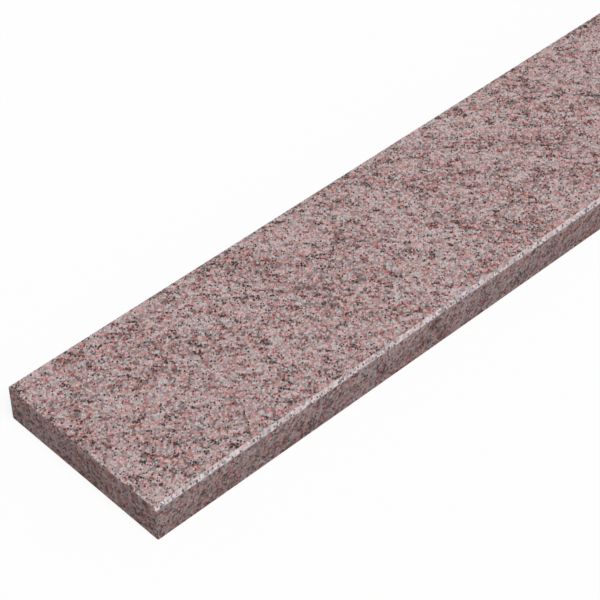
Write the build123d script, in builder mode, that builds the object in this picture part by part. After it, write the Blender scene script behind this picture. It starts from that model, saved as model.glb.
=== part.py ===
from build123d import *
import os

# A granite stair riser: one slab sawn to a plain rectangle, lying on its back with the finished face up.
# X runs along the slab, the chamfered long edge faces -Y, and the origin is the middle of the back.

# Cut size of the slab, in millimetres
slab_length = 1000.0
riser_height = 150.0
slab_thickness = 30.0

# Edge work: one ground chamfer, and every other edge just eased with a rubbing stone
chamfer_leg = 2.5
arris_leg = 0.5

# The slab: its section on the plane of one end, drawn out to the full length, then eased round both ends.
# The section's own X is the slab's Y, and its own Y is the slab's Z.
with BuildPart() as riser_slab:
    with BuildSketch(Plane.YZ.offset(-slab_length / 2)):
        with Locations((0, slab_thickness / 2)):
            section = Rectangle(riser_height, slab_thickness)
        front_corners, back_corners = section.vertices().group_by(Axis.X)
        front_bottom, front_top = front_corners.sort_by(Axis.Y)
        chamfer(front_top, length=chamfer_leg)
        chamfer([front_bottom, *back_corners], length=arris_leg)
    extrude(amount=slab_length)
    slab_ends = riser_slab.faces().filter_by(Axis.X)
    chamfer(slab_ends.edges(), length=arris_leg)

riser_slab.part.label = "riser_slab"

os.makedirs("parts", exist_ok=True)
export_step(riser_slab.part, "parts/riser_slab.step")
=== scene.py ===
"""A granite stair riser lying on its back: its mesh, its finishes, and the plain studio around it."""

import logging
import math
from dataclasses import dataclass
from enum import Enum
from itertools import pairwise

import bpy
import numpy as np
from mathutils import Matrix, Vector, noise


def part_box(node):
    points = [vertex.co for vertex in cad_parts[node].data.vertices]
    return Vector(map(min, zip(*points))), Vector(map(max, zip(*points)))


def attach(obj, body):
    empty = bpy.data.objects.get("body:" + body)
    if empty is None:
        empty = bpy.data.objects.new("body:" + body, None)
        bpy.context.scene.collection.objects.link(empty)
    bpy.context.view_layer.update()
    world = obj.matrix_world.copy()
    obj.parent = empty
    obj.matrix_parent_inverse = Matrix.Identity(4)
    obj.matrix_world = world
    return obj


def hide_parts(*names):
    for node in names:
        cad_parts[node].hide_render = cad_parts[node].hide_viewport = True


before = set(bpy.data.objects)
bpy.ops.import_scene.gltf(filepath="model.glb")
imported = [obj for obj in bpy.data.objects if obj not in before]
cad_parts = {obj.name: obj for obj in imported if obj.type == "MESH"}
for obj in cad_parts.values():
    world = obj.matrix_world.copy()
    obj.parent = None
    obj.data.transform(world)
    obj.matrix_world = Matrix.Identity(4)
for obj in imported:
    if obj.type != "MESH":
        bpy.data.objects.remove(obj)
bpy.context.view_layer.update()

SLAB_NODE = "riser_slab"
SLAB_BODY = "root"
MAP_NAME = "OFBake"

MM = 0.001

# Rings at each end of the slab's mesh that the eased edges draw in
EASED_RINGS = 2

# Most values of a fine noise lie between these levels
FINE = (0.3, 0.7)

# Places of the colour sockets on a mix node
MIX_BELOW, MIX_ABOVE, MIX_RESULT = 6, 7, 2

log = logging.getLogger("granite_riser")


class Surface(Enum):
    """The worked surfaces of the slab, in the order of its material slots."""

    FACE = 0
    CHAMFER = 1
    ARRIS = 2
    LONG_EDGE = 3
    END = 4
    BACK = 5


@dataclass(frozen=True)
class Tone:
    """A colour as the eye reads it on a screen, from 0 to 255 a channel."""

    red: float
    green: float
    blue: float

    def linear(self) -> tuple[float, float, float, float]:
        """Turns the colour into the shader's light values.

        Returns:
            Red, green and blue light, and full alpha.
        """
        screen = [channel / 255 for channel in (self.red, self.green, self.blue)]
        light = [c / 12.92 if c <= 0.04045 else ((c + 0.055) / 1.055) ** 2.4 for c in screen]
        return (light[0], light[1], light[2], 1.0)


@dataclass(frozen=True)
class Mineral:
    """One kind of crystal in the stone.

    Attributes:
        name: What it is.
        share: How much of the stone it makes up, as a part of 1.
        plain: Its colour where the stone is grey.
        rosy: Its colour in a rose patch.
        crushed: Its colour where a grinding wheel has crushed it.
    """

    name: str
    share: float
    plain: Tone
    rosy: Tone
    crushed: Tone


MINERALS: tuple[Mineral, ...] = (
    Mineral("smoky quartz", 0.12, Tone(112, 98, 97), Tone(136, 87, 83), Tone(160, 152, 156)),
    Mineral("grey quartz", 0.24, Tone(148, 134, 133), Tone(176, 123, 118), Tone(191, 178, 180)),
    Mineral("feldspar", 0.43, Tone(172, 158, 158), Tone(200, 151, 147), Tone(211, 196, 197)),
    Mineral("white feldspar", 0.21, Tone(194, 184, 185), Tone(206, 178, 176), Tone(226, 216, 217)),
)
MICA = Mineral("black mica", 0.08, Tone(30, 26, 27), Tone(54, 31, 29), Tone(107, 110, 117))


@dataclass(frozen=True)
class Lie:
    """How the grain lies where one surface cuts the stone.

    Attributes:
        heading: Direction in plan in which the grain is drawn out, in degrees from the slab's length.
        rise: How steeply that direction climbs, in degrees.
        crystals: How many times longer than wide the crystals are.
        knots: How many times longer than wide the knots and clouds are.
        patches: Size of the rose patches, against those on the face.
        rows: How much the rose patches stand in rows along the grain, from 0 to 1.
    """

    heading: float
    rise: float
    crystals: float
    knots: float
    patches: float
    rows: float

    def across(self, step: float) -> tuple[float, float, float]:
        """Gives a step along the surface, square to grain that is turned to lie along X."""
        return (0.0, 0.0, step) if self.rise else (0.0, step, 0.0)


LEVEL_LIE = Lie(heading=-46.0, rise=0.0, crystals=0.76, knots=2.1, patches=1.0, rows=0.1)
EDGE_LIE = Lie(heading=0.0, rise=42.0, crystals=1.02, knots=2.0, patches=1.15, rows=0.18)
END_LIE = Lie(heading=90.0, rise=42.0, crystals=0.74, knots=1.6, patches=0.85, rows=0.15)


class SawRun(Enum):
    """The way the saw ran, as how its marks are drawn out along the slab, across it and up."""

    ALONG = (0.02, 1.0, 1.0)
    ACROSS = (1.0, 0.02, 1.0)


@dataclass(frozen=True)
class StoneFinish:
    """How one worked surface shows the stone.

    Attributes:
        name: The finish in a mason's words.
        lie: How the grain lies on this surface.
        grain: Size of the crystals on this surface, against those on the face.
        dulling: Share of the stone's mean tone that the tool's marks lay over the crystals.
        crushing: Share of pale, crushed stone that grinding leaves on the surface.
        blush: How much further than on the face the rose patches spread.
        mica: Share of the places for a mica flake that hold one, away from knots.
        scatter: How unevenly the mica flakes stand, from 0 to 1.
        knots: How much the mica and the darker crystals gather in knots, from 0 to 1.
        clouds: How far the slow clouds lighten and darken the crystals.
        painted_shade_to_back: Painted shade: how much darker the surface is towards the slab's back,
            which lies on the floor.
        painted_shade: Painted shade: how much darker the whole surface is.
        roughness: Mean roughness of the surface.
        gloss: Strength of the surface's mirror-like share of light.
        pitting: Depth of the small pits between crystals, in millimetres.
        saw_run: The way the saw ran, where its marks are left.
        saw_marks: Depth of the saw's ridges, against the pits.
    """

    name: str
    lie: Lie
    grain: float = 1.1
    dulling: float = 0.0
    crushing: float = 0.0
    blush: float = 0.0
    mica: float = 0.40
    scatter: float = 1.0
    knots: float = 1.0
    clouds: float = 0.15
    painted_shade_to_back: float = 0.0
    painted_shade: float = 0.0
    roughness: float = 0.70
    gloss: float = 0.12
    pitting: float = 0.05
    saw_run: SawRun | None = None
    saw_marks: float = 0.0


FINISHES: dict[Surface, StoneFinish] = {
    Surface.FACE: StoneFinish(
        name="brushed_face",
        lie=LEVEL_LIE,
        grain=1.0,
        dulling=0.03,
        roughness=0.66,
        gloss=0.30,
        pitting=0.10,
    ),
    Surface.CHAMFER: StoneFinish(
        name="ground_chamfer",
        lie=LEVEL_LIE,
        grain=1.15,
        crushing=0.79,
        mica=0.7,
        scatter=0.6,
        knots=0.0,
        clouds=0.04,
        roughness=0.58,
        gloss=0.35,
        pitting=0.03,
    ),
    Surface.ARRIS: StoneFinish(
        name="rubbed_arris",
        lie=LEVEL_LIE,
        grain=1.0,
        roughness=0.62,
        gloss=0.20,
        pitting=0.04,
    ),
    Surface.LONG_EDGE: StoneFinish(
        name="sawn_edge",
        lie=EDGE_LIE,
        grain=0.92,
        dulling=0.18,
        blush=0.025,
        mica=0.42,
        clouds=0.1,
        # Painted shade, darker towards the back
        painted_shade_to_back=0.11,
        saw_run=SawRun.ALONG,
        saw_marks=0.4,
    ),
    Surface.END: StoneFinish(
        name="sawn_end",
        lie=END_LIE,
        grain=1.45,
        dulling=0.08,
        blush=0.085,
        mica=0.52,
        # Painted shade, darker towards the back and darker all over
        painted_shade_to_back=0.08,
        painted_shade=0.04,
        saw_run=SawRun.ACROSS,
        saw_marks=0.4,
    ),
    Surface.BACK: StoneFinish(
        name="sawn_back",
        lie=LEVEL_LIE,
        dulling=0.15,
        crushing=0.12,
        roughness=0.75,
        saw_run=SawRun.ALONG,
        saw_marks=1.0,
    ),
}


class NodeSheet:
    """Lays shader nodes on one material's sheet and joins them."""

    def __init__(self, tree: bpy.types.NodeTree) -> None:
        """Takes the sheet to work on.

        Args:
            tree: The material's node tree.
        """
        self.tree = tree

    def add(self, kind: str, **settings: object) -> bpy.types.Node:
        """Adds one node.

        Args:
            kind: The node's type, without the leading ShaderNode.
            settings: Attributes to set on the node.

        Returns:
            The new node.
        """
        node = self.tree.nodes.new("ShaderNode" + kind)
        for key, value in settings.items():
            setattr(node, key, value)
        return node

    def feed(self, socket: bpy.types.NodeSocket, value: object) -> None:
        """Gives a socket its value, by a link if the value is another socket.

        Args:
            socket: The input to fill.
            value: A number, a tuple or an output socket.
        """
        if isinstance(value, bpy.types.NodeSocket):
            self.tree.links.new(value, socket)
        else:
            socket.default_value = value

    def math(
        self, operation: str, first: object, second: object, clamp: bool = False
    ) -> bpy.types.NodeSocket:
        """Works out one number from two.

        Args:
            operation: The math node's operation.
            first: A number or an output socket.
            second: A number or an output socket.
            clamp: Whether the result stays between 0 and 1.

        Returns:
            The result's socket.
        """
        node = self.add("Math", operation=operation, use_clamp=clamp)
        self.feed(node.inputs[0], first)
        self.feed(node.inputs[1], second)
        return node.outputs[0]

    def vector(self, operation: str, first: object, second: object) -> bpy.types.NodeSocket:
        """Works out one vector from two, or from a vector and a scale.

        Args:
            operation: The vector math node's operation.
            first: A vector or an output socket.
            second: A vector, or the factor where the operation is SCALE.

        Returns:
            The result's socket.
        """
        node = self.add("VectorMath", operation=operation)
        self.feed(node.inputs[0], first)
        self.feed(node.inputs["Scale" if operation == "SCALE" else 1], second)
        return node.outputs[0]

    def ease(
        self, value: object, low: float, high: float, start: float, end: float
    ) -> bpy.types.NodeSocket:
        """Runs smoothly from start to end while a value goes from low to high.

        Args:
            value: The number to follow.
            low: Where the change begins.
            high: Where the change ends.
            start: The result at and below low.
            end: The result at and above high.

        Returns:
            The result's socket.
        """
        node = self.add("MapRange", interpolation_type="SMOOTHSTEP")
        for socket, given in zip(node.inputs, (value, low, high, start, end), strict=False):
            self.feed(socket, given)
        return node.outputs[0]

    def blend(
        self, amount: object, below: object, above: object, mode: str = "MIX"
    ) -> bpy.types.NodeSocket:
        """Lays one colour over another.

        Args:
            amount: How much of the upper colour shows, from 0 to 1.
            below: The lower colour.
            above: The upper colour.
            mode: The blend type.

        Returns:
            The mixed colour's socket.
        """
        node = self.add("Mix", data_type="RGBA", blend_type=mode)
        self.feed(node.inputs["Factor"], amount)
        self.feed(node.inputs[MIX_BELOW], below)
        self.feed(node.inputs[MIX_ABOVE], above)
        return node.outputs[MIX_RESULT]

    def split(self, colour: bpy.types.NodeSocket) -> bpy.types.NodeOutputs:
        """Takes a colour apart.

        Args:
            colour: The colour's socket.

        Returns:
            Its parts, Red, Green and Blue.
        """
        node = self.add("SeparateColor")
        self.feed(node.inputs[0], colour)
        return node.outputs

    def noise(self, place: bpy.types.NodeSocket, size: float, detail: float) -> bpy.types.Node:
        """Adds a soft noise.

        Args:
            place: Where in the stone, in millimetres.
            size: The size of a cloud, in millimetres.
            detail: How many finer layers it has.

        Returns:
            The noise node.
        """
        node = self.add("TexNoise", noise_dimensions="3D")
        self.feed(node.inputs["Vector"], place)
        node.inputs["Scale"].default_value = 1 / size
        node.inputs["Detail"].default_value = detail
        return node

    def seen_straight(self) -> bpy.types.NodeSocket:
        """Tells what the camera sees straight, in a mirror or through glass.

        Returns:
            1 for such a line of sight, and 0 for light that is on its way to a surface.
        """
        seen = self.add("LightPath").outputs
        straight = self.math("MAXIMUM", seen["Is Camera Ray"], seen["Is Glossy Ray"])
        return self.math("MAXIMUM", straight, seen["Is Transmission Ray"])

    def stirred(self, place: bpy.types.NodeSocket, size: float, reach: float) -> bpy.types.NodeSocket:
        """Stirs places about, so that straight outlines laid on them wander.

        Args:
            place: Where in the stone, in millimetres.
            size: The length of a bend, in millimetres.
            reach: How far the places move, in millimetres.

        Returns:
            The stirred places.
        """
        soft = self.noise(place, size, 2.0).outputs["Color"]
        away = self.vector("SUBTRACT", soft, (0.5, 0.5, 0.5))
        return self.vector("ADD", place, self.vector("SCALE", away, reach))

    def drawn_out(self, place: bpy.types.NodeSocket, lie: Lie, stretch: float) -> bpy.types.NodeSocket:
        """Draws out what is laid on these places, along the lie of the grain.

        Args:
            place: Where in the stone, in millimetres.
            lie: The lie of the grain.
            stretch: How many times longer it gets.

        Returns:
            The drawn-out places.
        """
        node = self.add("Mapping", vector_type="TEXTURE")
        self.feed(node.inputs["Vector"], place)
        node.inputs["Rotation"].default_value = (0.0, math.radians(-lie.rise), math.radians(lie.heading))
        node.inputs["Scale"].default_value = (stretch, 1.0, 1.0)
        return node.outputs[0]

    def cells(self, place: bpy.types.NodeSocket, size: float, scatter: float = 1.0) -> bpy.types.Node:
        """Adds a mosaic of cells, each with a random colour of its own.

        Args:
            place: Where in the stone, in millimetres.
            size: The mean width of a cell, in millimetres.
            scatter: How unevenly the cells stand, from 0 to 1.

        Returns:
            The cell node.
        """
        node = self.add("TexVoronoi", voronoi_dimensions="3D", feature="F1")
        self.feed(node.inputs["Vector"], place)
        node.inputs["Scale"].default_value = 1 / size
        node.inputs["Randomness"].default_value = scatter
        return node


@dataclass(frozen=True)
class Relief:
    """How the stone stands up, breaks out and shines, grain by grain.

    Attributes:
        crystals: Steps from crystal to crystal, against the depth of the surface's pits.
        mottling: Unevenness inside a crystal, against the pits.
        mica: How deep mica has broken out, against the pits.
        ridge: Width of a saw ridge, in millimetres.
        strength: How strongly the relief bends the light.
        dull: How much rougher than the mean the dullest specks are.
        bright: How much smoother than the mean the brightest specks are.
        mica_shine: How much smoother mica is than the crystals.
    """

    crystals: float = 0.5
    mottling: float = 0.6
    mica: float = 0.7
    ridge: float = 0.9
    strength: float = 0.5
    dull: float = 0.06
    bright: float = 0.08
    mica_shine: float = 0.16


@dataclass(frozen=True)
class Granite:
    """The stone itself: a mosaic of crystals, knots of mica and patches of rose, through the whole slab.

    Attributes:
        thickness: Thickness of the slab that is cut from it, in metres.
        crystal: Mean width of a crystal, in millimetres.
        bend: Length of a bend in a crystal's outline, and how far it wanders, in millimetres.
        seam: How much darker a crystal gets from its middle to its outline.
        seam_reach: Where that starts and ends, as distances from the middle against the width.
        mottling: How much lighter and darker the finest mottling makes a crystal.
        flake: Spacing of the places where a mica flake may sit, in millimetres.
        flake_reach: Reach of the smallest and the largest flake, against the spacing.
        flake_growth: How much further a flake reaches in the heart of a knot.
        flake_edge: Where a flake's soft edge begins and ends, against the spacing.
        few_large: Power by which large flakes are rarer than small ones.
        ragged: Length of a notch in a flake's outline, and how deep it goes, in millimetres.
        patch: Width of the rose patches, in millimetres.
        row: Spacing of the loose rows in which the rose patches stand, in millimetres.
        rose_start: Level of the patches' noise at which the stone starts to turn rose.
        rose_span: How far above that level it is fully rose.
        rose_share: How much of the stone is rose, as a part of 1, for its mean tone.
        rose_toughness: How much less rose stone is crushed than the mean, and grey stone more.
        knot: Width of the knots where mica gathers, in millimetres.
        knot_rim: Levels of the knots' noise between which mica flakes come closer.
        knot_heart: Levels between which the flakes grow.
        knot_shade: Levels between which the crystals darken.
        knot_shift: How far the mix moves to light crystals away from knots, and to dark ones in them.
        drift: Width of the slow lighter and darker clouds, in millimetres.
        drift_shade: Levels of the clouds' noise between which the crystals change.
        speck: Size of the finest mottling inside a crystal, in millimetres.
        bed: Where in the quarried block the slab lay, in metres.
        relief: How the grains stand up and shine.
    """

    thickness: float
    crystal: float = 1.9
    bend: tuple[float, float] = (1.3, 0.5)
    seam: float = 0.34
    seam_reach: tuple[float, float] = (0.15, 0.75)
    mottling: float = 0.12
    flake: float = 2.4
    flake_reach: tuple[float, float] = (0.22, 0.44)
    flake_growth: float = 0.22
    flake_edge: tuple[float, float] = (-0.04, 0.06)
    few_large: float = 1.5
    ragged: tuple[float, float] = (0.8, 1.1)
    patch: float = 5.15
    row: float = 4.8
    rose_start: float = 0.24
    rose_span: float = 0.59
    rose_share: float = 0.4
    rose_toughness: float = 0.06
    knot: float = 4.0
    knot_rim: tuple[float, float] = (0.42, 0.70)
    knot_heart: tuple[float, float] = (0.56, 0.74)
    knot_shade: tuple[float, float] = (0.25, 0.80)
    knot_shift: tuple[float, float] = (0.16, -0.25)
    drift: float = 22.0
    drift_shade: tuple[float, float] = (0.2, 0.8)
    speck: float = 0.5
    bed: tuple[float, float, float] = (3.696, 1.232, 0.0)
    relief: Relief = Relief()

    def mean_tone(self) -> tuple[float, float, float, float]:
        """Mixes the minerals by share, grey and rose together.

        Returns:
            The stone's mean colour, as light values.
        """
        light = np.zeros(4)
        for mineral in (*MINERALS, MICA):
            plain, rosy = np.array(mineral.plain.linear()), np.array(mineral.rosy.linear())
            light += mineral.share * ((1 - self.rose_share) * plain + self.rose_share * rosy)
        return tuple(float(channel) for channel in light / light[3])

    def dress(self, finish: StoneFinish) -> bpy.types.Material:
        """Makes the material of one worked surface.

        Args:
            finish: How the surface shows the stone.

        Returns:
            The material.
        """
        surface = GraniteSurface(self, finish)
        surface.colour_in()
        surface.work_relief()
        return surface.material


class GraniteSurface(NodeSheet):
    """One worked surface of the stone: its crystals, its mica, what the mason's tool left on it and
    painted shade.
    """

    def __init__(self, stone: Granite, finish: StoneFinish) -> None:
        """Starts the surface's material with the layers that its colour and its relief share.

        Args:
            stone: The stone.
            finish: How the surface shows it.
        """
        self.material = bpy.data.materials.new(f"granite_{finish.name}")
        self.material.use_nodes = True
        super().__init__(self.material.node_tree)
        self.stone = stone
        self.finish = finish
        self.spot = self.add("TexCoord").outputs["Object"]
        in_block = self.vector("ADD", self.spot, stone.bed)
        self.place = self.vector("SCALE", in_block, 1 / (MM * finish.grain))
        wandering = self.stirred(self.place, *stone.bend)
        self.bent = self.drawn_out(wandering, finish.lie, finish.lie.crystals)
        self.drawn = self.drawn_out(self.place, finish.lie, finish.lie.knots)
        self.knots = self.noise(self.drawn, stone.knot, 1.0).outputs["Fac"]
        self.fine = self.noise(self.place, stone.speck, 2.0).outputs["Fac"]
        self.mosaic = self.cells(self.bent, stone.crystal)
        self.chance = self.split(self.mosaic.outputs["Color"])
        self.mica = self.mica_flakes()

    def mica_flakes(self) -> bpy.types.NodeSocket:
        """Scatters mica flakes, ragged, and close together in the knots.

        Returns:
            Where mica is, from 0 to 1.
        """
        stone, loose, gather = self.stone, self.finish.mica, self.finish.knots
        flakes = self.cells(self.stirred(self.bent, *stone.ragged), stone.flake, self.finish.scatter)
        chance = self.split(flakes.outputs["Color"])
        share = self.ease(self.knots, *stone.knot_rim, loose, loose + (1 - loose) * gather)
        present = self.math("LESS_THAN", chance["Red"], share)
        size = self.math("POWER", chance["Green"], stone.few_large)
        reach = self.ease(size, 0.0, 1.0, *stone.flake_reach)
        growth = self.ease(self.knots, *stone.knot_heart, 0.0, stone.flake_growth * gather)
        reach = self.math("ADD", reach, growth)
        inside = self.math("SUBTRACT", reach, flakes.outputs["Distance"])
        return self.math("MULTIPLY", self.ease(inside, *stone.flake_edge, 0.0, 1.0), present)

    def ramp(self, pick: bpy.types.NodeSocket, tones: list[Tone]) -> bpy.types.NodeSocket:
        """Turns a random number into the colour of a crystal, by share.

        Args:
            pick: The random number, from 0 for the darkest crystal to 1 for the lightest.
            tones: The colours, one for each mineral.

        Returns:
            The colour's socket.
        """
        node = self.add("ValToRGB")
        stops = node.color_ramp.elements
        start = 0.0
        for index, (mineral, tone) in enumerate(zip(MINERALS, tones, strict=True)):
            place = start + mineral.share / 2
            stop = stops[index] if index < len(stops) else stops.new(place)
            stop.position = place
            stop.color = tone.linear()
            start += mineral.share
        self.feed(node.inputs[0], pick)
        return node.outputs[0]

    def rose_patches(self) -> bpy.types.NodeSocket:
        """Spreads the rose patches, in loose rows along the lie of the grain.

        Returns:
            How rosy the stone is, from 0 to 1.
        """
        stone, lie = self.stone, self.finish.lie
        size = stone.patch * lie.patches
        rosy = self.noise(self.bent, size, 0.0).outputs["Fac"]
        for step in (-stone.row * lie.patches, stone.row * lie.patches):
            next_row = self.vector("ADD", self.bent, lie.across(step))
            beside = self.noise(next_row, size, 0.0).outputs["Fac"]
            rosy = self.math("SUBTRACT", rosy, self.math("MULTIPLY", beside, lie.rows))
        low = stone.rose_start - lie.rows - self.finish.blush
        return self.ease(rosy, low, low + stone.rose_span, 0.0, 1.0)

    def colour_in(self) -> None:
        """Colours the crystals and the mica, and lays over them what the tool left and painted shade."""
        stone, finish = self.stone, self.finish

        # Darker crystals round the knots and in the dark clouds, and rose ones in patches of their own
        clouds = self.noise(self.drawn, stone.drift, 2.0).outputs["Fac"]
        light, dark = (finish.knots * way for way in stone.knot_shift)
        shift = self.ease(self.knots, *stone.knot_shade, light, dark)
        drift = self.ease(clouds, *stone.drift_shade, -finish.clouds, finish.clouds)
        shift = self.math("ADD", shift, drift)
        pick = self.math("ADD", self.chance["Red"], shift, clamp=True)
        rose = self.rose_patches()
        plain = self.ramp(pick, [mineral.plain for mineral in MINERALS])
        rosy = self.ramp(pick, [mineral.rosy for mineral in MINERALS])
        colour = self.blend(rose, plain, rosy)

        # Each crystal darkens to its outline and is mottled, and the mica lies over it
        middle, outline = 1 + 0.5 * stone.seam, 1 - 0.5 * stone.seam
        shade = self.ease(self.mosaic.outputs["Distance"], *stone.seam_reach, middle, outline)
        mottle = self.ease(self.fine, *FINE, 1 - stone.mottling, 1 + stone.mottling)
        shade = self.math("MULTIPLY", shade, mottle)
        colour = self.blend(1.0, colour, shade, "MULTIPLY")
        mica = self.blend(rose, MICA.plain.linear(), MICA.rosy.linear())
        colour = self.blend(self.mica, colour, mica)

        # What the mason's tool leaves on the surface, and painted shade on the sawn sides
        if finish.dulling:
            colour = self.blend(finish.dulling, colour, stone.mean_tone())
        # Painted shade: the sawn sides darker towards the slab's back, which lies on the floor, and the
        # end darker all over
        if finish.painted_shade_to_back:
            spot = self.add("SeparateXYZ")
            self.feed(spot.inputs[0], self.spot)
            low, high = 1 - finish.painted_shade - finish.painted_shade_to_back, 1 - finish.painted_shade + finish.painted_shade_to_back
            painted_shading = self.ease(spot.outputs["Z"], 0.0, stone.thickness, low, high)
            colour = self.blend(1.0, colour, painted_shading, "MULTIPLY")
        if finish.crushing:
            crushed = self.ramp(pick, [mineral.crushed for mineral in MINERALS])
            crushed = self.blend(self.mica, crushed, MICA.crushed.linear())
            grey, pink = finish.crushing + stone.rose_toughness, finish.crushing - stone.rose_toughness
            colour = self.blend(self.ease(rose, 0.0, 1.0, grey, pink), colour, crushed)
        self.feed(self.tree.nodes["Principled BSDF"].inputs["Base Color"], colour)

    def work_relief(self) -> None:
        """Sets the sheen, and raises the crystals, the pits and the saw's ridges."""
        finish, relief = self.finish, self.stone.relief
        shader = self.tree.nodes["Principled BSDF"]
        dull, bright = finish.roughness + relief.dull, finish.roughness - relief.bright
        rough = self.ease(self.fine, *FINE, dull, bright)
        rough = self.math("SUBTRACT", rough, self.math("MULTIPLY", self.mica, relief.mica_shine))
        self.feed(shader.inputs["Roughness"], rough)
        shader.inputs["Specular IOR Level"].default_value = finish.gloss
        height = self.math("MULTIPLY", self.chance["Green"], relief.crystals)
        height = self.math("ADD", height, self.math("MULTIPLY", self.fine, relief.mottling))
        height = self.math("SUBTRACT", height, self.math("MULTIPLY", self.mica, relief.mica))
        if finish.saw_run is not None:
            run = self.vector("MULTIPLY", self.place, finish.saw_run.value)
            ridges = self.noise(run, relief.ridge, 1.0).outputs["Fac"]
            height = self.math("ADD", height, self.math("MULTIPLY", ridges, finish.saw_marks))
        bump = self.add("Bump")
        bump.inputs["Strength"].default_value = relief.strength
        bump.inputs["Distance"].default_value = finish.pitting * MM
        self.feed(bump.inputs["Height"], height)
        self.feed(shader.inputs["Normal"], bump.outputs[0])


@dataclass
class RiserSlab:
    """The riser: one sawn slab, chamfered along the front of its face and eased on every other edge.

    Attributes:
        low: Lowest corner of the slab.
        high: Highest corner of the slab.
        chamfer: Leg of the ground chamfer.
        arris: Leg of the eased edges.
        pitch: Size of one mesh cell.
        hollow_width: Width of a hollow in a side.
        hollow_depth: Depth of the deepest hollow that brushing leaves in the face.
        wander_depth: Depth of the deepest hollow that the saw's wander leaves in the long edges and back.
        crumb_width: Width of a crumb missing from a worked edge.
        crumb_level: Level of the crumbs' noise above which one is missing.
        crumb_depth: Depth of a crumb where its noise stands 1 above that level.
        map_gap: Space between the pieces of the skin laid out flat.
    """

    low: Vector
    high: Vector
    chamfer: float = 2.5 * MM
    arris: float = 0.5 * MM
    pitch: float = 2.0 * MM
    hollow_width: float = 9.0 * MM
    hollow_depth: float = 0.16 * MM
    wander_depth: float = 0.05 * MM
    crumb_width: float = 5.0 * MM
    crumb_level: float = 0.25
    crumb_depth: float = 0.25 * MM
    map_gap: float = 4.0 * MM

    def middle(self) -> np.ndarray:
        """Gives the middle of the section, as y and z."""
        return np.array(((self.low.y + self.high.y) / 2, (self.low.z + self.high.z) / 2))

    def cells(self, span: float) -> int:
        """Gives how many cells cover a span."""
        return max(2, round(span / self.pitch))

    def cells_across(self) -> int:
        """Gives how many cells lie across the slab."""
        return self.cells(self.high.y - self.low.y)

    def cells_up(self) -> int:
        """Gives how many cells stand up its thickness."""
        return self.cells(self.high.z - self.low.z)

    def side(
        self, start: tuple[float, float], end: tuple[float, float], legs: tuple[float, float]
    ) -> np.ndarray:
        """Divides the flat of one side of the section.

        Args:
            start: The sharp corner where the side begins, as y and z.
            end: The sharp corner where it ends.
            legs: The legs of the work on the two corners.

        Returns:
            Points on the flat of the side, as rows of y and z.
        """
        first, last = np.array(start), np.array(end)
        along = (last - first) / np.linalg.norm(last - first)
        count = self.cells_across() if abs(along[0]) > 0.5 else self.cells_up()
        return np.linspace(first + along * legs[0], last - along * legs[1], count + 1)

    def section(self) -> tuple[np.ndarray, list[Surface]]:
        """Draws the section as a closed loop, along the face, down the back edge, and round.

        Returns:
            The loop's points as rows of y and z, and the surface of the stretch after each point.
        """
        front, rear = self.low.y, self.high.y
        bottom, top = self.low.z, self.high.z
        corners = [(front, top), (rear, top), (rear, bottom), (front, bottom)]
        legs = [self.chamfer, self.arris, self.arris, self.arris]
        work = [Surface.CHAMFER, Surface.ARRIS, Surface.ARRIS, Surface.ARRIS]
        sides = [Surface.FACE, Surface.LONG_EDGE, Surface.BACK, Surface.LONG_EDGE]
        points: list[np.ndarray] = []
        surfaces: list[Surface] = []
        for index, corner in enumerate(corners):
            following = (index + 1) % 4
            inward = np.sign(self.middle() - np.array(corner)) * legs[index] / 2
            points.append(np.array(corner) + inward)
            surfaces.append(work[index])
            flat = self.side(corner, corners[following], (legs[index], legs[following]))
            points.extend(flat)
            surfaces.extend([sides[index]] * (len(flat) - 1) + [work[following]])
        return np.array(points), surfaces

    def stations(self) -> tuple[np.ndarray, np.ndarray]:
        """Gives where the rings stand along the slab, and how far each is drawn in at the eased ends.

        Returns:
            The rings' x, and their inset.
        """
        left, right = self.low.x, self.high.x
        flat = np.linspace(left + self.arris, right - self.arris, self.cells(right - left) + 1)
        places = np.concatenate([[left, left + self.arris / 2], flat, [right - self.arris / 2, right]])
        insets = np.zeros(len(places))
        insets[[0, -1]] = self.arris
        insets[[1, -2]] = self.arris / 2
        return places, insets

    def weather(self, rings: np.ndarray, surfaces: list[Surface]) -> np.ndarray:
        """Lowers the points a little, by brushed hollows, the saw's wander and crumbs gone from edges.

        Args:
            rings: The points, by ring and by place in the loop.
            surfaces: The surface after each place in the loop.

        Returns:
            The lowered points.
        """
        worn = rings.copy()
        edge = {Surface.CHAMFER, Surface.ARRIS}
        for place, surface in enumerate(surfaces):
            before = surfaces[place - 1]
            flat = surface is before and surface not in edge
            corner = surface in edge and before in edge
            if not flat and not corner:
                continue
            depth = self.hollow_depth if surface is Surface.FACE else self.wander_depth
            offset = self.middle() - rings[EASED_RINGS, place, 1:]
            inward = np.zeros(3)
            if corner:
                inward[1:] = np.sign(offset) / math.sqrt(2)
            elif surface in (Surface.FACE, Surface.BACK):
                inward[2] = np.sign(offset[1])
            else:
                inward[1] = np.sign(offset[0])
            for ring in range(EASED_RINGS + 1, len(rings) - EASED_RINGS - 1):
                spot = Vector(rings[ring, place])
                if corner:
                    chip = max(0.0, noise.noise(spot / self.crumb_width) - self.crumb_level)
                    worn[ring, place] += inward * chip * self.crumb_depth
                else:
                    hollow = 0.5 + 0.5 * noise.fractal(spot / self.hollow_width, 1.0, 2.0, 2)
                    worn[ring, place] += inward * min(1.0, max(0.0, hollow)) * depth
        return worn

    def build(self) -> bpy.types.Object:
        """Builds the slab's mesh: rings joined along its length, with a grid over each end.

        Returns:
            The slab, its cells numbered for the material slot of their surface, which dress adds.
        """
        loop, surfaces = self.section()
        places, insets = self.stations()
        outward = np.sign(loop - self.middle()) * self.inset_mask(loop)
        rings = np.empty((len(places), len(loop), 3))
        for ring, (x, inset) in enumerate(zip(places, insets, strict=True)):
            rings[ring, :, 0] = x
            rings[ring, :, 1:] = loop - outward * inset
        rings = self.weather(rings, surfaces)

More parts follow.
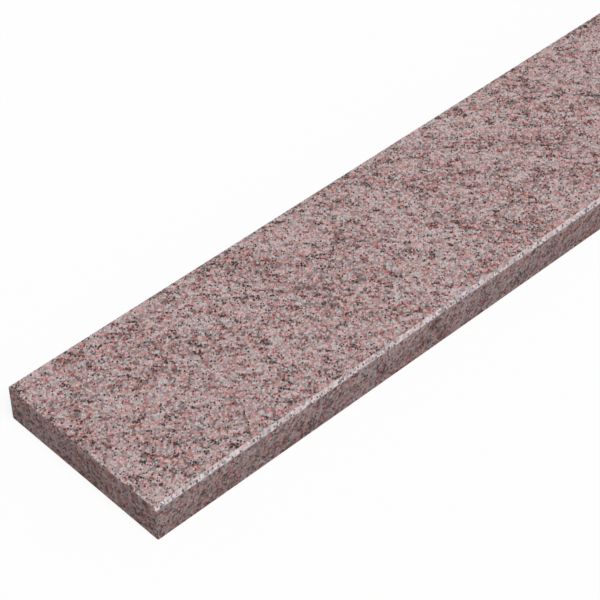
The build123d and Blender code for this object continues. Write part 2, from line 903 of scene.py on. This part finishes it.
        around = len(loop)
        points = list(map(tuple, rings.reshape(-1, 3)))
        quads: list[tuple[int, ...]] = []
        slots: list[int] = []
        for ring in range(len(places) - 1):
            at_end = ring < EASED_RINGS or ring >= len(places) - EASED_RINGS - 1
            for place in range(around):
                beside = (place + 1) % around
                quads.append((
                    ring * around + place,
                    (ring + 1) * around + place,
                    (ring + 1) * around + beside,
                    ring * around + beside,
                ))
                slots.append((Surface.ARRIS if at_end else surfaces[place]).value)
        for ring in (0, len(places) - 1):
            for quad in self.end_grid(rings[ring], ring * around, points):
                quads.append(quad[::-1] if ring else quad)
                slots.append(Surface.END.value)

        mesh = bpy.data.meshes.new("riser_slab_stone")
        mesh.from_pydata(points, [], quads)
        mesh.polygons.foreach_set("material_index", slots)
        mesh.polygons.foreach_set("use_smooth", [True] * len(quads))
        mesh.update()
        self.crease(mesh)
        self.flatten(mesh, loop, places)
        slab = bpy.data.objects.new("riser_stone", mesh)
        bpy.context.scene.collection.objects.link(slab)
        return slab

    def inset_mask(self, loop: np.ndarray) -> np.ndarray:
        """Tells which way each point of the loop is drawn in at the eased ends.

        Args:
            loop: The section's points, as rows of y and z.

        Returns:
            A row for each point: 1 or 0 for across, and 1 or 0 for up and down.
        """
        front, rear = self.low.y, self.high.y
        bottom, top = self.low.z, self.high.z
        # A hair more than the chamfer's leg, so that rounding leaves none of its points out
        reach = self.chamfer * 1.001
        across = np.minimum(loop[:, 0] - front, rear - loop[:, 0]) <= reach
        upright = np.minimum(loop[:, 1] - bottom, top - loop[:, 1]) <= reach
        return np.stack([across, upright], axis=1).astype(float)

    def end_grid(
        self, ring: np.ndarray, first: int, points: list[tuple[float, ...]]
    ) -> list[tuple[int, ...]]:
        """Covers one end with a grid that meets its ring point for point.

        Args:
            ring: The ring's points.
            first: The number of the ring's first point in the mesh.
            points: The mesh's points, to which the grid's own are added.

        Returns:
            The grid's cells, wound to face -X.
        """
        wide, tall = self.cells_across() + 2, self.cells_up() + 2
        number = np.zeros((wide + 1, tall + 1), int)
        number[:, tall] = first + np.arange(wide + 1)
        number[wide, ::-1] = first + wide + np.arange(tall + 1)
        number[::-1, 0] = first + wide + tall + np.arange(wide + 1)
        number[0, 1:tall] = first + 2 * wide + tall + 1 + np.arange(tall - 1)
        rim = (*number[:, 0], *number[:, tall], *number[0], *number[wide])
        spot = {n: Vector(ring[n - first]) for n in rim}
        for across in range(1, wide):
            for up in range(1, tall):
                below, above = spot[number[across, 0]], spot[number[across, tall]]
                front, rear = spot[number[0, up]], spot[number[wide, up]]
                rise = (front.z + rear.z) / 2
                share = (rise - self.low.z) / (self.high.z - self.low.z)
                number[across, up] = len(points)
                y = below.y + (above.y - below.y) * share
                run = (y - self.low.y) / (self.high.y - self.low.y)
                points.append((ring[0, 0], y, front.z + (rear.z - front.z) * run))
        cells = []
        for across in range(wide):
            for up in range(tall):
                near, far = number[across], number[across + 1]
                cells.append((int(near[up]), int(near[up + 1]), int(far[up + 1]), int(far[up])))
        return cells

    def crease(self, mesh: bpy.types.Mesh) -> None:
        """Keeps the line between two surfaces crisp.

        Args:
            mesh: The slab's mesh.
        """
        owners: dict[int, set[int]] = {}
        for polygon in mesh.polygons:
            for loop in polygon.loop_indices:
                owners.setdefault(mesh.loops[loop].edge_index, set()).add(polygon.material_index)
        sharp = [len(owners[edge.index]) > 1 for edge in mesh.edges]
        mesh.edges.foreach_set("use_edge_sharp", sharp)

    def flatten(self, mesh: bpy.types.Mesh, loop: np.ndarray, places: np.ndarray) -> None:
        """Lays the slab's skin out flat: unrolled, cut into three lengths, the ends beside the last.

        Args:
            mesh: The slab's mesh, its rings' cells first.
            loop: The section's points, as rows of y and z.
            places: The rings' x.
        """
        gap = self.map_gap
        steps = np.linalg.norm(np.roll(loop, -1, axis=0) - loop, axis=1)
        girth = np.concatenate([[0.0], np.cumsum(steps)])
        rings = len(places) - 1
        starts = [rings * third // 3 for third in range(4)]
        wide = max(places[end] - places[start] for start, end in pairwise(starts)) + gap
        tall = girth[-1] + gap
        flat: list[tuple[float, float]] = []
        for third, (start, end) in enumerate(pairwise(starts)):
            left, bottom = third % 2 * wide - places[start], third // 2 * tall
            for ring in range(start, end):
                near, far = left + places[ring], left + places[ring + 1]
                for low, high in pairwise(bottom + girth):
                    flat.extend(((near, low), (far, low), (far, high), (near, high)))
        for corner in range(len(flat), len(mesh.loops)):
            x, y, z = mesh.vertices[mesh.loops[corner].vertex_index].co
            above = 0.0 if x < (places[0] + places[-1]) / 2 else self.high.z - self.low.z + gap
            flat.append((wide + y - self.low.y, tall + above + z - self.low.z))
        shown = (np.array(flat) + gap) / (2 * max(wide, tall) + gap)
        mesh.uv_layers.new(name=MAP_NAME).data.foreach_set("uv", shown.ravel())

    def dress(self, slab: bpy.types.Object, stone: Granite) -> None:
        """Gives each surface its finish.

        Args:
            slab: The slab to dress.
            stone: The stone it is cut from.
        """
        for surface in Surface:
            slab.data.materials.append(stone.dress(FINISHES[surface]))


def direction(turn: float, height: float) -> Vector:
    """Gives the direction from the slab to a place round and above it.

    Args:
        turn: Turn round the slab, in degrees from straight in front.
        height: Height above the horizon, in degrees.

    Returns:
        The direction, of length 1.
    """
    around, above = math.radians(turn), math.radians(height)
    level = math.cos(above)
    return Vector((math.sin(around) * level, -math.cos(around) * level, math.sin(above)))


@dataclass(frozen=True)
class StudioFloor:
    """A plain pale floor that shows as white and keeps the slab's soft shadow.

    Attributes:
        size: Width of the floor, in metres.
        paint: How much light the floor sends back.
        glow: Light added where the camera sees the floor, so that it shows as white.
    """

    size: float = 40.0
    paint: float = 0.22
    glow: float = 0.78

    def build(self) -> bpy.types.Object:
        """Lays the floor at the slab's underside.

        Returns:
            The floor.
        """
        half = self.size / 2
        mesh = bpy.data.meshes.new("studio_floor")
        corners = [(-half, -half, 0), (half, -half, 0), (half, half, 0), (-half, half, 0)]
        mesh.from_pydata(corners, [], [(0, 1, 2, 3)])
        floor = bpy.data.objects.new("studio_floor", mesh)
        bpy.context.scene.collection.objects.link(floor)
        material = bpy.data.materials.new("pale_floor")
        material.use_nodes = True
        material.node_tree.nodes.clear()
        sheet = NodeSheet(material.node_tree)
        paint = sheet.add("BsdfDiffuse")
        paint.inputs["Color"].default_value = (self.paint, self.paint, self.paint, 1.0)
        glow = sheet.add("Emission")
        straight = sheet.seen_straight()
        sheet.feed(glow.inputs["Strength"], sheet.math("MULTIPLY", straight, self.glow))
        both = sheet.add("AddShader")
        sheet.feed(both.inputs[0], paint.outputs[0])
        sheet.feed(both.inputs[1], glow.outputs[0])
        out = sheet.add("OutputMaterial")
        sheet.feed(out.inputs["Surface"], both.outputs[0])
        mesh.materials.append(material)
        return floor


@dataclass(frozen=True)
class StudioLight:
    """Even light from all round, with one soft lamp high over the front of the slab.

    Attributes:
        ambient: Light from all round, as a share of what the face needs to show its colours as written.
        lamp_height: Height of the lamp above the horizon, in degrees.
        lamp_turn: Where the lamp stands round the slab, in degrees from straight in front.
        lamp_softness: Width of the lamp as the slab sees it, in degrees.
    """

    ambient: float = 0.26
    lamp_height: float = 64.3
    lamp_turn: float = -21.8
    lamp_softness: float = 40.0

    def build(self) -> None:
        """Sets the world's light and hangs the lamp."""
        world = bpy.data.worlds.new("studio")
        world.use_nodes = True
        bpy.context.scene.world = world
        world.node_tree.nodes.clear()
        sheet = NodeSheet(world.node_tree)
        straight = sheet.seen_straight()
        sky = sheet.add("Background")
        level = sheet.math("MULTIPLY_ADD", straight, 1.0 - self.ambient)
        level.node.inputs[2].default_value = self.ambient
        sheet.feed(sky.inputs["Strength"], level)
        out = sheet.add("OutputWorld")
        sheet.feed(out.inputs["Surface"], sky.outputs[0])

        towards = direction(self.lamp_turn, self.lamp_height)
        lamp = bpy.data.lights.new("soft_lamp", "SUN")
        lamp.angle = math.radians(self.lamp_softness)
        lamp.energy = (1.0 - self.ambient) * math.pi / towards.z
        hung = bpy.data.objects.new("soft_lamp", lamp)
        hung.rotation_euler = towards.to_track_quat("Z", "Y").to_euler()
        bpy.context.scene.collection.objects.link(hung)


@dataclass(frozen=True)
class PhotoCamera:
    """The photograph's point of view.

    Attributes:
        turn: Direction of view round the slab, in degrees from straight in front.
        height: Height of the view above the horizon, in degrees.
        tilt: Tilt of the frame about the line of view, in degrees.
        distance: From the camera to the point it is aimed at, in metres.
        lens: Focal length, in millimetres.
        sensor: Width of the sensor, in millimetres.
        sight: How far the camera sees, in metres.
        aim: The point on the face it is aimed at, in metres from the near end and the chamfered edge.
    """

    turn: float = -42.41
    height: float = 43.50
    tilt: float = -1.32
    distance: float = 1.54355
    lens: float = 134.58
    sensor: float = 36.0
    sight: float = 100.0
    aim: tuple[float, float] = (0.19587, 0.07539)

    def build(self, slab: RiserSlab) -> bpy.types.Object:
        """Sets up the camera.

        Args:
            slab: The slab to look at.

        Returns:
            The camera, set as the scene's own.
        """
        turn = math.radians(self.turn)
        back = direction(self.turn, self.height)
        right = Vector((math.cos(turn), math.sin(turn), 0.0))
        up = back.cross(right)
        level = Matrix((right, up, back)).transposed()
        point = Vector((slab.low.x + self.aim[0], slab.low.y + self.aim[1], slab.high.z))
        data = bpy.data.cameras.new("photo_camera")
        data.sensor_width = self.sensor
        data.lens = self.lens
        data.clip_end = self.sight
        camera = bpy.data.objects.new("photo_camera", data)
        turned = level @ Matrix.Rotation(math.radians(self.tilt), 3, "Z")
        camera.matrix_world = Matrix.Translation(point + back * self.distance) @ turned.to_4x4()
        bpy.context.scene.collection.objects.link(camera)
        bpy.context.scene.camera = camera
        return camera


def main() -> None:
    """Builds the slab and the studio, and reports each piece."""
    logging.basicConfig(level=logging.INFO, format="%(message)s")
    bpy.context.scene.view_settings.view_transform = "Standard"

    riser = RiserSlab(*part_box(SLAB_NODE))
    slab = riser.build()
    riser.dress(slab, Granite(thickness=riser.high.z - riser.low.z))
    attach(slab, SLAB_BODY)
    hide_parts(SLAB_NODE)
    log.info("%s: %d points, %d cells", slab.name, len(slab.data.vertices), len(slab.data.polygons))

    floor = StudioFloor().build()
    log.info("%s: stage", floor.name)
    StudioLight().build()
    camera = PhotoCamera().build(riser)
    log.info("%s: lens %.1f mm", camera.name, camera.data.lens)


if __name__ == "__main__":
    main()
